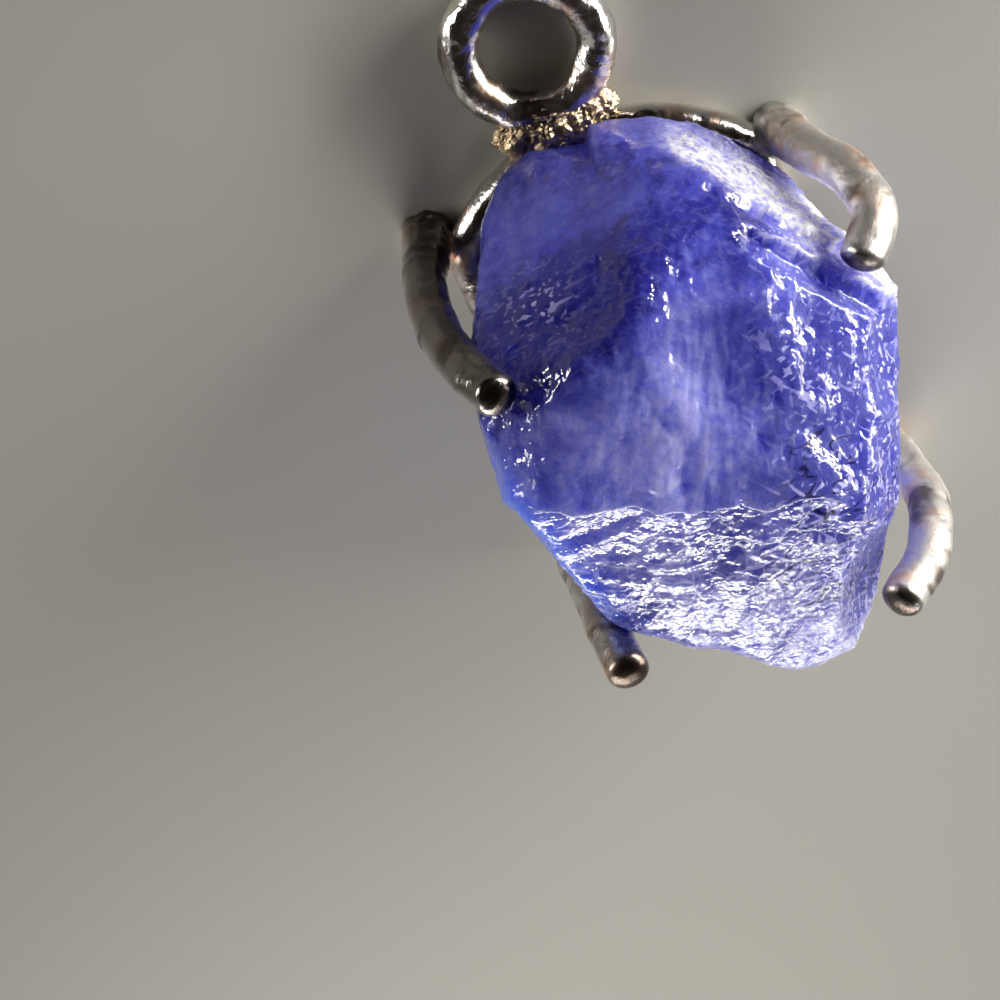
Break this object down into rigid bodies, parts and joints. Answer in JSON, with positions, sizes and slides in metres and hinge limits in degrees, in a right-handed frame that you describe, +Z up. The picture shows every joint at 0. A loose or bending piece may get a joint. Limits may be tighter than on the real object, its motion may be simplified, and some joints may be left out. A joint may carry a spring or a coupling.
{
  "type": "rough tanzanite in a four-prong silver setting",
  "caption": "Rough violet-blue tanzanite crystal held by bent wire prongs on a silver wire loop, with a soldered ring to hang it by; it lies on its back.",
  "frame": {"origin": "on the surface that the part lies on, under the middle of its bounding box", "axes": "+Z up, out of the stone's broad face; +Y from the stone towards the hanging ring"},
  "size_m": [0.0134, 0.0202, 0.0091],
  "materials": {
    "tanzanite": "rough, frosted fracture faces, see-through violet-blue crystal",
    "silver_wire": "polished silver wire with fine scratches",
    "silver_solder": "rough, granular silver solder"
  },
  "bodies": {
    "root": {"rough_stone": "tanzanite", "back_loop": "silver_wire", "prong_upper_left": "silver_wire", "prong_upper_right": "silver_wire", "prong_lower_right": "silver_wire", "prong_lower_left": "silver_wire", "hanging_ring": "silver_wire", "solder_joint": "silver_solder"}
  },
  "joints": []
}
